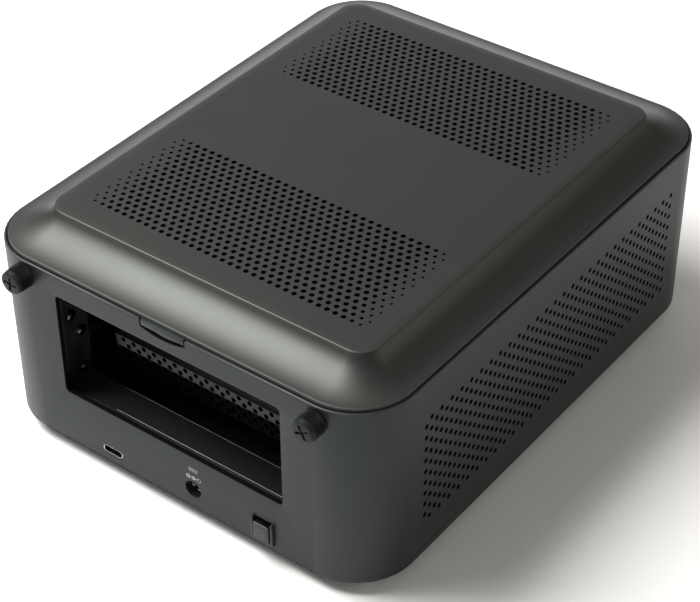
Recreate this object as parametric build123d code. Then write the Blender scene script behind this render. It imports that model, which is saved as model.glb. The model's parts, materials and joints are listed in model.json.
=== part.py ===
from build123d import *
import math
import os

# External graphics card enclosure, in millimetres.
# X runs along the connector side, -Y is the connector side and Z is up.
# The pieces are drawn round the middle of the body and moved at the end, so that
# the origin lies on the table under the middle of the overall outline.

# Body
body_width = 164.8
body_depth = 208.0
rim_height = 73.0
corner_radius = 22.5
wall = 1.6
plate_bottom = 1.5
shell_drop = 0.7
stand_height = 4.5

# Rim that carries the top cover
rim_lip = 1.0
ledge_drop = 1.4
ledge_thickness = 1.4
ledge_width = 2.6

# Top cover
cover_height = 82.0
cover_gap = 0.35
cover_sheet = 1.4
cover_edge_rise = 0.9
cove_side = 14.2
cove_end = 17.3
plateau_radius = 7.5
cove_power = 2.5
cove_lean = 0.1
cove_steps = 4

# Vent fields in the cover: a few large openings stand for clusters of small holes
vent_pitch = 9.78
vent_hole = 6.0
vent_side_margin = 11.0
vent_end_margin = 12.0
vent_middle = 56.4

# Slit vents in both side walls, in staggered columns
slit_width = 3.2
slit_length = 8.4
slit_column_step = 8.2
slit_row_step = 14.1
slit_end_margin = 28.0
slit_bottom = 14.0
slit_top = 59.5

# Card window in the connector side
window_width = 94.2
window_height = 40.9
window_bottom = 23.6
window_radius = 1.5

# Pull tab of the cover and the finger notch below it
tab_width = 18.0
tab_drop = 2.3
tab_gap = 0.5
notch_depth = 1.6

# Thumbscrews that clamp the cover
thumb_side = 21.4
thumb_z = 67.0
thumb_head = 8.4
thumb_head_base = 9.2
thumb_head_length = 6.5
thumb_ribs = 24
thumb_rib_depth = 0.35
thumb_cross = 5.0
thumb_cross_slot = 0.9
thumb_shank = 3.0
thumb_hole_gap = 0.3
thumb_thread_gap = 0.1
thumb_tail = 1.5

# Ears and tongues of the cover
ear_width = 9.0
ear_sheet = 1.2
ear_gap = 0.3
ear_drop = 5.0
boss_height = 0.9
boss_diameter = 7.6
tongue_x = 40.0
tongue_width = 16.0
tongue_drop = 8.0
tongue_gap = 0.4

# Inner frame behind the card window
frame_sheet = 1.2
frame_side_gap = 12.1
frame_gap = 0.4
frame_window_width = 99.4
frame_window_bottom = 20.7
frame_window_top = 65.5
frame_bar_bottom = 15.0
frame_leg_width = 10.0
frame_foot_length = 10.0
frame_foot_hole = 6.0
flange_depth = 10.4
flange_top = 61.0
flange_screw_depth = 6.8
flange_screw_near = 2.6
flange_screw_rise = 16.0
flange_screw_top_rise = 25.0

# Threaded bushes
bush_diameter = 6.0
bush_neck = 4.6
bush_length = 4.0

# Card deck
deck_top = 21.3
deck_sheet = 1.0
deck_side_gap = 23.8
deck_rear = 33.5
deck_front_gap = 12.0
deck_skirt_bottom = 9.5
deck_leg_gap = 10.4
deck_foot = 9.0
deck_hole = 3.2
deck_hole_pitch = 9.0

# Bottom plate and feet
bottom_sheet = 1.0
bottom_gap = 0.3
corner_boss = 7.0
corner_boss_height = 10.0
corner_boss_inset = 2.4
foot_diameter = 12.0
foot_inset = 24.0

# Screws
screw_head = 4.4
screw_head_height = 1.4
screw_shank = 2.4
screw_bore_gap = 0.1

# Main board
board_sheet = 1.2
board_standoff = 0.6
board_left_gap = 30.8
board_right_gap = 26.8
board_wing_gap = 3.8
board_length = 79.4
board_wing_length = 46.0
board_rear_gap = 4.6
standoff_diameter = 5.0
board_hole_inset = 4.5

# Data socket
usb_x = -27.6
usb_width = 8.94
usb_height = 3.26
usb_shell = 0.35
usb_length = 9.0
usb_recess = 0.4
usb_hole_gap = 0.25
usb_tongue_width = 6.7
usb_tongue_height = 0.7
usb_tongue_length = 6.0

# Power socket
jack_x = 8.7
jack_centre_rise = 4.6
jack_bore = 6.4
jack_hole = 6.8
jack_width = 9.0
jack_length = 14.0
jack_bore_depth = 10.0
jack_pin = 2.0
jack_pin_length = 8.0

# Power button
button_x = 38.7
button_z = 7.8
button_hole_width = 9.4
button_hole_height = 9.8
button_gap = 0.2
button_rail = 1.0
button_frame_proud = 1.2
button_flange = 0.9
button_cap_width = 6.4
button_cap_height = 6.7
button_proud = 1.6
button_travel = 0.6
button_stem = 3.0
switch_body = 6.0
switch_height = 5.5
switch_depth = 4.0

# Chip, heat sink and power parts on the board
chip_x = -12.0
chip_rear = 56.0
chip_size = 14.0
chip_height = 1.3
sink_size = 30.0
sink_height = 9.0
sink_base = 2.0
sink_fins = 8
sink_fin = 1.0
coil_size = 7.0
coil_height = 4.5
coil_count = 4
can_diameter = 6.3
can_height = 8.0
can_count = 4
part_row_rear = 21.0
part_row_step = 10.0

# Riser and card slot
riser_wall_gap = 7.9
riser_sheet = 1.6
riser_length = 92.0
riser_rear = 95.0
riser_top = 44.0
riser_gap = 0.1
socket_width = 6.0
socket_height = 6.0
socket_length = 36.0
socket_floor = 1.6
slot_z = 27.5
slot_height = 7.5
slot_depth = 11.3
slot_length = 89.0
slot_groove = 1.9
slot_groove_depth = 8.0
slot_end_wall = 2.0
latch_length = 9.0
latch_gap = 0.3
latch_pin = 2.0

# Values worked out from those above
half_x = body_width / 2
half_y = body_depth / 2
side_inner = half_x - wall
rear_inner = -half_y + wall
front_inner = half_y - wall
ledge_top = rim_height - ledge_drop
cover_inset = rim_lip + cover_gap
cover_edge_top = rim_height + cover_edge_rise
cover_edge_radius = corner_radius - cover_inset
thumb_x = half_x - thumb_side
frame_width = 2 * (side_inner - frame_side_gap)
deck_width = 2 * (side_inner - deck_side_gap)
floor_top = plate_bottom + bottom_sheet
ear_rear = rear_inner + boss_height + ear_gap
frame_rear = ear_rear + ear_sheet + ear_gap
frame_front = frame_rear + frame_sheet
frame_top = ledge_top - ledge_thickness - frame_gap
flange_front = frame_front + flange_depth
deck_rear_y = -half_y + deck_rear
deck_front_y = front_inner - deck_front_gap
board_bottom = floor_top + board_standoff
board_top = board_bottom + board_sheet
board_rear_y = -half_y + board_rear_gap
board_front_y = board_rear_y + board_length
board_wing_rear_y = board_front_y - board_wing_length
board_left = side_inner - board_left_gap
board_right = side_inner - board_right_gap
board_wing_right = side_inner - board_wing_gap
chip_y = -half_y + chip_rear
part_row_y = -half_y + part_row_rear
riser_x = side_inner - riser_wall_gap - riser_sheet
riser_centre_y = -half_y + riser_rear
usb_z = board_top + usb_height / 2
jack_z = board_top + jack_centre_rise
thumb_tip_y = frame_front + bush_length + thumb_tail
socket_top = board_top + socket_height
riser_bottom = board_top + socket_floor
plateau_half_x = half_x - cover_inset - cove_side
plateau_half_y = half_y - cover_inset - cove_end


def block(x0, x1, y0, y1, z0, z1):
    centre = Pos((x0 + x1) / 2, (y0 + y1) / 2, (z0 + z1) / 2)
    return centre * Box(abs(x1 - x0), abs(y1 - y0), abs(z1 - z0))


def rod_x(y, z, diameter, x0, x1):
    return Pos((x0 + x1) / 2, y, z) * Rot(0, 90, 0) * Cylinder(diameter / 2, abs(x1 - x0))


def rod_y(x, z, diameter, y0, y1):
    return Pos(x, (y0 + y1) / 2, z) * Rot(90, 0, 0) * Cylinder(diameter / 2, abs(y1 - y0))


def rod_z(x, y, diameter, z0, z1):
    return Pos(x, y, (z0 + z1) / 2) * Cylinder(diameter / 2, abs(z1 - z0))


def rounded_slab(inset, z0, z1):
    outline = RectangleRounded(body_width - 2 * inset, body_depth - 2 * inset, corner_radius - inset)
    return Pos(0, 0, z0) * extrude(outline, z1 - z0)


def stadium_y(x, z, width, height, y0, y1):
    outline = Plane.XZ * SlotOverall(width, height)
    return Pos(x, y1, z) * extrude(outline, abs(y1 - y0))


def grid_of_points(x_span, y_span, x_step, y_step):
    # Centred staggered rows: every second row is shifted by half a step
    rows = int(y_span / y_step) + 1
    points = []
    for row in range(rows):
        y = (row - (rows - 1) / 2) * y_step
        span = x_span - (row % 2) * x_step
        columns = int(span / x_step) + 1
        for column in range(columns):
            points.append(((column - (columns - 1) / 2) * x_step, y))
    return points


def corner_points(inset_x, inset_y):
    return [(sx * (half_x - inset_x), sy * (half_y - inset_y)) for sx in (-1, 1) for sy in (-1, 1)]


def boss_points():
    # Corner screws sit on the diagonal of each rounded corner
    reach = (corner_radius - wall - corner_boss_inset) / math.sqrt(2)
    return corner_points(corner_radius - reach, corner_radius - reach)


# Casing

def side_slits():
    row_span = slit_top - slit_bottom - slit_length
    column_span = body_depth - 2 * slit_end_margin - slit_width
    middle = (slit_top + slit_bottom) / 2
    outline = Sketch()
    for z, y in grid_of_points(row_span, column_span, slit_row_step, slit_column_step):
        outline += Pos(y, z + middle) * Rectangle(slit_width, slit_length)
    return Pos(-half_x - wall, 0, 0) * extrude(Plane.YZ * outline, body_width + 2 * wall)


def finger_notch():
    top = rim_height - tab_drop - tab_gap
    half = tab_width / 2 + tab_gap
    cut = block(-half, half, -half_y - wall, rear_inner + tab_gap, top, rim_height + wall)
    radius = (half**2 + notch_depth**2) / (2 * notch_depth)
    scoop = rod_y(0, top - notch_depth + radius, 2 * radius, -half_y - wall, rear_inner + tab_gap)
    return cut + (scoop & block(-half, half, -half_y - wall, rear_inner + tab_gap, top - notch_depth, top))


def body_shell():
    shell = rounded_slab(0, plate_bottom - shell_drop, rim_height)
    shell -= rounded_slab(wall, plate_bottom - shell_drop, ledge_top - ledge_thickness)
    shell -= rounded_slab(wall + ledge_width, ledge_top - ledge_thickness, ledge_top)
    shell -= rounded_slab(rim_lip, ledge_top, rim_height)
    for x, y in boss_points():
        boss_top = floor_top + corner_boss_height
        shell += rod_z(x, y, corner_boss, floor_top, boss_top)
        shell -= rod_z(x, y, screw_shank + 2 * screw_bore_gap, floor_top, boss_top - wall)
    for side in (-1, 1):
        x = side * thumb_x
        shell += rod_y(x, thumb_z, boss_diameter, -half_y + wall / 2, rear_inner + boss_height)
        shell -= rod_y(x, thumb_z, thumb_shank + 2 * thumb_hole_gap, -half_y - wall, rear_inner + 2 * wall)
        ear_half = ear_width / 2 + tongue_gap
        shell -= block(x - ear_half, x + ear_half, ear_rear - ear_gap, rear_inner + ledge_width + wall,
                       ledge_top - ledge_thickness, ledge_top)
    window = Plane.XZ * RectangleRounded(window_width, window_height, window_radius)
    shell -= Pos(0, rear_inner + wall, window_bottom + window_height / 2) * extrude(window, 3 * wall)
    hole_width = usb_width + 2 * usb_hole_gap
    hole_height = usb_height + 2 * usb_hole_gap
    shell -= stadium_y(usb_x, usb_z, hole_width, hole_height, -half_y - wall, rear_inner + wall)
    shell -= rod_y(jack_x, jack_z, jack_hole, -half_y - wall, rear_inner + wall)
    shell -= block(button_x - button_hole_width / 2, button_x + button_hole_width / 2, -half_y - wall,
                   rear_inner + wall, button_z - button_hole_height / 2, button_z + button_hole_height / 2)
    shell -= finger_notch()
    return shell - side_slits()


def bottom_plate():
    plate = rounded_slab(wall + bottom_gap, plate_bottom, floor_top)
    for x, y in boss_points() + board_points():
        plate -= rod_z(x, y, screw_shank + 2 * screw_bore_gap, plate_bottom, floor_top)
    for x, y in frame_foot_points() + deck_foot_points():
        plate -= rod_z(x, y, screw_shank + 2 * screw_bore_gap, plate_bottom, floor_top)
    return plate


# Top cover

def cover_section(step, drop, inset):
    # One level of the cove, which leaves the edge nearly level and steepens to the plateau
    share = step / cove_steps
    rise = cove_lean * share + (1 - cove_lean) * share**cove_power
    level = (cover_height - cover_edge_top) * rise
    radius = cover_edge_radius + (plateau_radius - cover_edge_radius) * share
    width = body_width - 2 * (cover_inset + cove_side * share + inset)
    depth = body_depth - 2 * (cover_inset + cove_end * share + inset)
    outline = RectangleRounded(width, depth, radius - inset)
    return Pos(0, 0, cover_edge_top + level - drop) * outline


def cover_form(drop, inset):
    sections = [cover_section(step, drop, inset) for step in range(cove_steps + 1)]
    return loft(sections)


def cover_vents():
    width = 2 * (plateau_half_x - vent_side_margin) - vent_hole
    depth = plateau_half_y - vent_end_margin - vent_middle / 2 - vent_hole
    row_step = vent_pitch * math.sqrt(3) / 2
    centre = (plateau_half_y - vent_end_margin + vent_middle / 2) / 2
    outline = Sketch()
    for side in (-1, 1):
        for x, y in grid_of_points(width, depth, vent_pitch, row_step):
            outline += Pos(x, y + side * centre) * RegularPolygon(vent_hole / 2, 6)
    return Pos(0, 0, cover_height - 2 * cover_sheet) * extrude(outline, 3 * cover_sheet)


def cover_sheet_form():
    form = rounded_slab(cover_inset, ledge_top, cover_edge_top) + cover_form(0, 0)
    form -= rounded_slab(cover_inset + cover_sheet, ledge_top, cover_edge_top - cover_sheet)
    return form - cover_form(cover_sheet, cover_sheet)


def cover_ear(x, sheet):
    # A fork welded under the edge of the cover: it lifts off the shank of its thumbscrew
    bottom = thumb_z - ear_drop
    half = ear_width / 2
    slot = thumb_shank / 2 + thumb_hole_gap
    ear = block(x - half, x + half, ear_rear, ear_rear + ear_sheet, bottom, cover_edge_top)
    ear -= block(x - slot, x + slot, ear_rear, ear_rear + ear_sheet, bottom, thumb_z + slot)
    return ear - sheet


def cover_tongue(x):
    front = front_inner - ledge_width - tongue_gap
    top = cover_edge_top - cover_sheet / 2
    half = tongue_width / 2
    return block(x - half, x + half, front - ear_sheet, front, ledge_top - tongue_drop, top)


def top_cover(sheet):
    cover = sheet - cover_vents()
    tab_rear = -half_y + cover_inset + cover_sheet / 2
    cover += block(-tab_width / 2, tab_width / 2, -half_y, tab_rear, rim_height - tab_drop, rim_height)
    for side in (-1, 1):
        cover += cover_tongue(side * tongue_x)
    return cover


# Thumbscrews and their bushes

def ribbed_outline(diameter):
    points = []
    for k in range(2 * thumb_ribs):
        radius = diameter / 2 - (k % 2) * thumb_rib_depth
        angle = math.pi * k / thumb_ribs
        points.append((radius * math.cos(angle), radius * math.sin(angle)))
    return make_face(Polyline(*points, close=True))


def thumbscrew(x):
    face = Plane.XZ.offset(half_y + thumb_head_length) * ribbed_outline(thumb_head)
    base = Plane.XZ.offset(half_y) * ribbed_outline(thumb_head_base)
    head = loft([base, face], ruled=True)
    front = -half_y - thumb_head_length
    slot_end = front + thumb_cross_slot
    for width, height in ((thumb_cross, thumb_cross_slot), (thumb_cross_slot, thumb_cross)):
        head -= block(-width / 2, width / 2, front, slot_end, -height / 2, height / 2)
    head += rod_y(0, 0, thumb_shank, -half_y - thumb_head_length / 2, thumb_tip_y)
    return Pos(x, 0, thumb_z) * head


def thumbscrew_bush(x):
    bush = rod_y(x, thumb_z, bush_diameter, frame_front, frame_front + bush_length)
    bush += rod_y(x, thumb_z, bush_neck, frame_rear, frame_front)
    return bush - rod_y(x, thumb_z, thumb_shank + 2 * thumb_thread_gap, frame_rear, frame_front + bush_length)


# Inner frame

def frame_foot_points():
    x = frame_width / 2 - frame_leg_width / 2
    y = frame_front + frame_foot_hole
    return [(-x, y), (x, y)]


def bracket_screw_points():
    deep = frame_front + flange_screw_depth
    near = frame_front + flange_screw_near
    lower = frame_window_bottom + screw_head
    return [(deep, lower), (deep, lower + flange_screw_rise), (near, lower + flange_screw_top_rise)]


def bracket_plate():
    half = frame_width / 2
    opening = frame_window_width / 2
    plate = block(-half, half, frame_rear, frame_front, floor_top, frame_top)
    plate -= block(-opening, opening, frame_rear, frame_front, frame_window_bottom, frame_window_top)
    inner = half - frame_leg_width
    plate -= block(-inner, inner, frame_rear, frame_front, floor_top, frame_bar_bottom)
    shelf = frame_window_bottom - frame_sheet
    plate += block(-opening, opening, frame_rear, flange_front, shelf, frame_window_bottom)
    plate += block(-opening - frame_sheet, -opening, frame_rear, flange_front, shelf, flange_top)
    foot_front = frame_front + frame_foot_length
    for side in (-1, 1):
        plate += block(side * inner, side * half, frame_rear, foot_front, floor_top, floor_top + frame_sheet)
        plate -= rod_y(side * thumb_x, thumb_z, bush_neck, frame_rear, frame_front)
    for x, y in frame_foot_points():
        plate -= rod_z(x, y, screw_shank + 2 * screw_bore_gap, floor_top, floor_top + frame_sheet)
    for y, z in bracket_screw_points():
        plate -= rod_x(y, z, screw_shank + 2 * screw_bore_gap, -opening - frame_sheet, -opening)
    return plate


def screw_up(x, y, head_bottom, length):
    # Pan head on top, shank down
    return rod_z(x, y, screw_head, head_bottom, head_bottom + screw_head_height) + rod_z(
        x, y, screw_shank, head_bottom - length, head_bottom)


def screw_down(x, y, head_top, length):
    # Head below, shank up
    return rod_z(x, y, screw_head, head_top - screw_head_height, head_top) + rod_z(
        x, y, screw_shank, head_top, head_top + length)


def bracket_screws():
    face = -frame_window_width / 2
    solids = []
    for y, z in bracket_screw_points():
        head = rod_x(y, z, screw_head, face, face + screw_head_height)
        solids.append(head + rod_x(y, z, screw_shank, face - 2 * frame_sheet, face))
    return Compound(solids)


def frame_screws():
    length = frame_sheet + bottom_sheet
    return Compound([screw_up(x, y, floor_top + frame_sheet, length) for x, y in frame_foot_points()])


# Card deck

def deck_foot_points():
    x = deck_width / 2 - deck_foot / 2
    front = deck_front_y - deck_foot
    rear = board_front_y + deck_leg_gap + deck_foot
    return [(sx * x, y) for sx in (-1, 1) for y in (rear, front)]


def card_deck():
    half = deck_width / 2
    deck = block(-half, half, deck_rear_y, deck_front_y, deck_top - deck_sheet, deck_top)
    deck += block(-half, half, deck_rear_y, deck_rear_y + deck_sheet, deck_skirt_bottom, deck_top)
    leg_rear = board_front_y + deck_leg_gap
    foot_top = floor_top + deck_sheet
    for side in (-1, 1):
        deck += block(side * half, side * (half - deck_sheet), leg_rear, deck_front_y, floor_top, deck_top)
        deck += block(side * half, side * (half - deck_foot), leg_rear, deck_front_y, floor_top, foot_top)
    for x, y in deck_foot_points():
        deck -= rod_z(x, y, screw_shank + 2 * screw_bore_gap, floor_top, floor_top + deck_sheet)
    row = (deck_skirt_bottom + deck_top - deck_sheet) / 2
    span = deck_width - 2 * deck_hole_pitch
    row_step = deck_hole_pitch / 2
    holes = Sketch()
    for x, z in grid_of_points(span, row_step, deck_hole_pitch, row_step):
        holes += Pos(x, z + row) * RegularPolygon(deck_hole / 2, 6)
    return deck - Pos(0, deck_rear_y + 2 * deck_sheet, 0) * extrude(Plane.XZ * holes, 3 * deck_sheet)


def deck_screws():
    length = deck_sheet + bottom_sheet
    return Compound([screw_up(x, y, floor_top + deck_sheet, length) for x, y in deck_foot_points()])


# Main board and what sits on it

def board_points():
    inset = board_hole_inset
    left = -board_left + inset
    right = board_right - inset
    rear = board_rear_y + 2 * inset
    front = board_front_y - inset
    return [(left, rear), (left, front), (right, rear), (board_right + inset, front)]


def main_board():
    board = block(-board_left, board_right, board_rear_y, board_front_y, board_bottom, board_top)
    board += block(board_right, board_wing_right, board_wing_rear_y, board_front_y, board_bottom, board_top)
    for x, y in board_points():
        board -= rod_z(x, y, screw_shank + 2 * screw_bore_gap, board_bottom, board_top)
    return board


def board_standoffs():
    solids = []
    for x, y in board_points():
        bush = rod_z(x, y, standoff_diameter, floor_top, board_bottom)
        solids.append(bush - rod_z(x, y, screw_shank + 2 * screw_bore_gap, floor_top, board_bottom))
    return Compound(solids)


def board_screws():
    length = board_sheet + board_standoff + bottom_sheet
    return Compound([screw_up(x, y, board_top, length) for x, y in board_points()])


def usb_c_shell():
    rear = -half_y + usb_recess
    shell = stadium_y(usb_x, usb_z, usb_width, usb_height, rear, rear + usb_length)
    inner_width = usb_width - 2 * usb_shell
    inner_height = usb_height - 2 * usb_shell
    return shell - stadium_y(usb_x, usb_z, inner_width, inner_height, rear, rear + usb_length - usb_shell)


def usb_c_tongue():
    back = -half_y + usb_recess + usb_length - usb_shell
    half = usb_tongue_width / 2
    return block(usb_x - half, usb_x + half, back - usb_tongue_length, back,
                 usb_z - usb_tongue_height / 2, usb_z + usb_tongue_height / 2)


def dc_jack():
    half = jack_width / 2
    jack = block(jack_x - half, jack_x + half, rear_inner, rear_inner + jack_length, board_top, jack_z + half)
    jack -= rod_y(jack_x, jack_z, jack_bore, rear_inner, rear_inner + jack_bore_depth)
    return jack


def dc_jack_pin():
    back = rear_inner + jack_bore_depth
    return rod_y(jack_x, jack_z, jack_pin, back - jack_pin_length, back)


def button_frame():
    half_width = button_hole_width / 2 - button_gap
    half_height = button_hole_height / 2 - button_gap
    front = -half_y - button_frame_proud
    frame = block(-half_width, half_width, front, rear_inner, -half_height, half_height)
    lip = button_flange
    frame += block(-half_width - lip, half_width + lip, rear_inner, rear_inner + lip,
                   board_top - button_z, half_height + lip)
    inner = half_width - button_rail
    bottom = -button_cap_height / 2 - button_gap
    frame -= block(-inner, inner, front, rear_inner + lip, bottom, half_height + 2 * lip)
    return Pos(button_x, 0, button_z) * frame


def button_cap():
    half_width = button_cap_width / 2
    half_height = button_cap_height / 2
    front = -half_y - button_proud
    cap = block(-half_width, half_width, front, rear_inner + button_flange, -half_height, half_height)
    cap = fillet(cap.faces().sort_by(Axis.Y)[0].edges(), button_gap)
    stem_back = switch_front() - button_travel - button_gap / 2
    cap += rod_y(0, 0, button_stem, rear_inner, stem_back)
    return Pos(button_x, 0, button_z) * cap


def switch_front():
    return rear_inner + button_flange + 2 * button_travel + button_stem / 2


def power_switch():
    half = switch_body / 2
    front = switch_front()
    top = button_z + switch_height / 2
    return block(button_x - half, button_x + half, front, front + switch_depth, board_top, top)


def controller_chip():
    half = chip_size / 2
    top = board_top + chip_height
    return block(chip_x - half, chip_x + half, chip_y - half, chip_y + half, board_top, top)


def controller_heatsink():
    half = sink_size / 2
    base = board_top + chip_height
    sink = block(chip_x - half, chip_x + half, chip_y - half, chip_y + half, base, base + sink_base)
    step = (sink_size - sink_fin) / (sink_fins - 1)
    for k in range(sink_fins):
        x = chip_x - half + k * step
        sink += block(x, x + sink_fin, chip_y - half, chip_y + half, base + sink_base, base + sink_height)
    return sink


def inductors():
    half = coil_size / 2
    solids = []
    for k in range(coil_count):
        y = chip_y - sink_size / 2 + half + k * part_row_step
        x = chip_x + sink_size
        solids.append(block(x - half, x + half, y - half, y + half, board_top, board_top + coil_height))
    return Compound(solids)


def capacitors():
    solids = []
    for k in range(can_count):
        x = board_right - board_hole_inset - k * part_row_step
        solids.append(rod_z(x, part_row_y, can_diameter, board_top, board_top + can_height))
    return Compound(solids)


# Riser and card slot

def riser_socket():
    x = riser_x + riser_sheet / 2
    rear = board_wing_rear_y + board_hole_inset
    front = rear + socket_length
    half = socket_width / 2
    socket = block(x - half, x + half, rear, front, board_top, socket_top)
    gap = riser_sheet / 2 + riser_gap
    return socket - block(x - gap, x + gap, rear, front, riser_bottom, socket_top)


def riser_board():
    half = riser_length / 2
    back = riser_x + riser_sheet
    board = block(riser_x, back, riser_centre_y - half, riser_centre_y + half, socket_top, riser_top)
    rear = board_wing_rear_y + board_hole_inset
    return board + block(riser_x, back, rear, rear + socket_length, riser_bottom, socket_top)


def slot_rear():
    return riser_centre_y - slot_length / 2


def pcie_slot():
    rear = slot_rear()
    front = rear + slot_length
    mouth = riser_x - slot_depth
    half = slot_height / 2
    slot = block(mouth, riser_x, rear, front, slot_z - half, slot_z + half)
    groove = slot_groove / 2
    slot -= block(mouth, mouth + slot_groove_depth, rear + slot_end_wall, front - slot_end_wall,
                  slot_z - groove, slot_z + groove)
    lug = front + latch_gap + latch_length / 2
    for side in (-1, 1):
        level = slot_z + side * half
        inner = level - side * slot_end_wall
        slot += block(riser_x - slot_depth / 2, riser_x, front, lug + latch_pin, level, inner)
        slot -= rod_z(latch_x(), lug, latch_pin + 2 * riser_gap, inner, level)
    return slot


def latch_x():
    return riser_x - slot_depth / 4


def slot_latch():
    front = slot_rear() + slot_length + latch_gap
    half = slot_height / 2 - slot_end_wall - latch_gap
    middle = front + latch_length / 2
    lever = block(riser_x - slot_depth - latch_length / 2, latch_x(), middle - latch_pin, middle + latch_pin,
                  slot_z - half, slot_z + half)
    lever += rod_z(latch_x(), middle, 2 * latch_pin, slot_z - half, slot_z + half)
    return lever + rod_z(latch_x(), middle, latch_pin, slot_z - slot_height / 2, slot_z + slot_height / 2)


# Bottom screws and feet

def bottom_screws():
    solids = [screw_down(x, y, plate_bottom, corner_boss_height / 2 + bottom_sheet) for x, y in boss_points()]
    return Compound(solids)


def foot(x, y):
    return rod_z(x, y, foot_diameter, -stand_height, plate_bottom)


lid_sheet = cover_sheet_form()

parts = {
    "body_shell": body_shell(),
    "bottom_plate": bottom_plate(),
    "top_cover": top_cover(lid_sheet),
    "cover_ear_left": cover_ear(-thumb_x, lid_sheet),
    "cover_ear_right": cover_ear(thumb_x, lid_sheet),
    "thumbscrew_left": thumbscrew(-thumb_x),
    "thumbscrew_right": thumbscrew(thumb_x),
    "thumbscrew_bush_left": thumbscrew_bush(-thumb_x),
    "thumbscrew_bush_right": thumbscrew_bush(thumb_x),
    "bracket_plate": bracket_plate(),
    "bracket_screws": bracket_screws(),
    "frame_screws": frame_screws(),
    "card_deck": card_deck(),
    "deck_screws": deck_screws(),
    "main_board": main_board(),
    "board_standoffs": board_standoffs(),
    "board_screws": board_screws(),
    "usb_c_shell": usb_c_shell(),
    "usb_c_tongue": usb_c_tongue(),
    "dc_jack": dc_jack(),
    "dc_jack_pin": dc_jack_pin(),
    "button_frame": button_frame(),
    "button_cap": button_cap(),
    "power_switch": power_switch(),
    "controller_chip": controller_chip(),
    "controller_heatsink": controller_heatsink(),
    "inductors": inductors(),
    "capacitors": capacitors(),
    "riser_socket": riser_socket(),
    "riser_board": riser_board(),
    "pcie_slot": pcie_slot(),
    "slot_latch": slot_latch(),
    "bottom_screws": bottom_screws(),
}
foot_names = ("foot_rear_left", "foot_front_left", "foot_rear_right", "foot_front_right")
for name, (x, y) in zip(foot_names, corner_points(foot_inset, foot_inset)):
    parts[name] = foot(x, y)

# The thumbscrews stand out behind, so the middle of the outline lies behind the middle of the body;
# heights are measured from a level that the feet hold above the table
outline_middle = -thumb_head_length / 2

os.makedirs("parts", exist_ok=True)
for name, shape in parts.items():
    export_step(Pos(0, -outline_middle, stand_height) * shape, f"parts/{name}.step")
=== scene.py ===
import bmesh
import bpy
import json
import math
from mathutils import Matrix, Vector


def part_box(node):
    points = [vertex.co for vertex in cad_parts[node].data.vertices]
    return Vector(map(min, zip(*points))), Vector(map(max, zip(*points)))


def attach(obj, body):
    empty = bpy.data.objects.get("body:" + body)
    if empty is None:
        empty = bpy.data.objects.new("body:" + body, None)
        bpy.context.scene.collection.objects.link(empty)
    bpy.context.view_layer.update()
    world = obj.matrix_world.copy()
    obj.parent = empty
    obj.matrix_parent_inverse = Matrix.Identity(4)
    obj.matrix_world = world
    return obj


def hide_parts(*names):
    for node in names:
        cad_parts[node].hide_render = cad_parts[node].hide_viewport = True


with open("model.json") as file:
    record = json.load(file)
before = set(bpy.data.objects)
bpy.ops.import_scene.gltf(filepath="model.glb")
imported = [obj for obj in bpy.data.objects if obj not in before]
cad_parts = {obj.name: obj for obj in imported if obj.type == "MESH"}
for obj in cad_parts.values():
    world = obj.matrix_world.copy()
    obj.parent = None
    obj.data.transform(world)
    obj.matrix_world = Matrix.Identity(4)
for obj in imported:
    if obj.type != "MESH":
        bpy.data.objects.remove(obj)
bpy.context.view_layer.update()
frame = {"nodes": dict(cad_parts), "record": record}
nodes = frame["nodes"]
scene = bpy.context.scene

# Pieces are drawn in millimetres round the middle of the body, then set into the frame
bodyLow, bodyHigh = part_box("body_shell")
shellBottom = 0.8  # height of the shell's lower edge in these drawings
drawingSpot = (0, (bodyLow.y + bodyHigh.y) / 2, bodyLow.z - shellBottom / 1000)
toFrame = Matrix.Translation(drawingSpot) @ Matrix.Scale(0.001, 4)
print("frame loaded with", len(nodes), "nodes")


# Shader maths

class Sock:
    def __init__(self, tree, socket=None):
        self.tree = tree
        self.socket = socket

    def node(self, kind, settings=None, values=None, out=0):
        made = self.tree.nodes.new("ShaderNode" + kind)
        for key, value in (settings or {}).items():
            setattr(made, key, value)
        for key, value in (values or {}).items():
            if isinstance(value, Sock):
                self.tree.links.new(value.socket, made.inputs[key])
            else:
                made.inputs[key].default_value = value
        return Sock(self.tree, made.outputs[out] if made.outputs else None)

    def maths(self, operation, first, second):
        return self.node("Math", {"operation": operation}, {0: first, 1: second})

    def __add__(self, other):
        return self.maths("ADD", self, other)

    def __radd__(self, other):
        return self.maths("ADD", other, self)

    def __sub__(self, other):
        return self.maths("SUBTRACT", self, other)

    def __mul__(self, other):
        return self.maths("MULTIPLY", self, other)


cloudDetail = 3.0
grainShare = 0.4  # part of a coat's colour change that follows its grain
streakDepth = 0.00002


def newMaterial(name):
    material = bpy.data.materials.new(name)
    material.use_nodes = True
    material.node_tree.nodes.clear()
    return material, Sock(material.node_tree)


def noise(sheet, scale, detail=2.0, stretch=None):
    place = sheet.node("TexCoord", out="Object")
    if stretch:
        place = sheet.node("Mapping", {}, {"Vector": place, "Scale": stretch})
    return sheet.node("TexNoise", {}, {"Vector": place, "Scale": scale, "Detail": detail}, "Fac")


def blend(sheet, share, dark, light):
    return sheet.node("Mix", {"data_type": "RGBA"}, {0: share, 6: (*dark, 1), 7: (*light, 1)}, 2)


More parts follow.
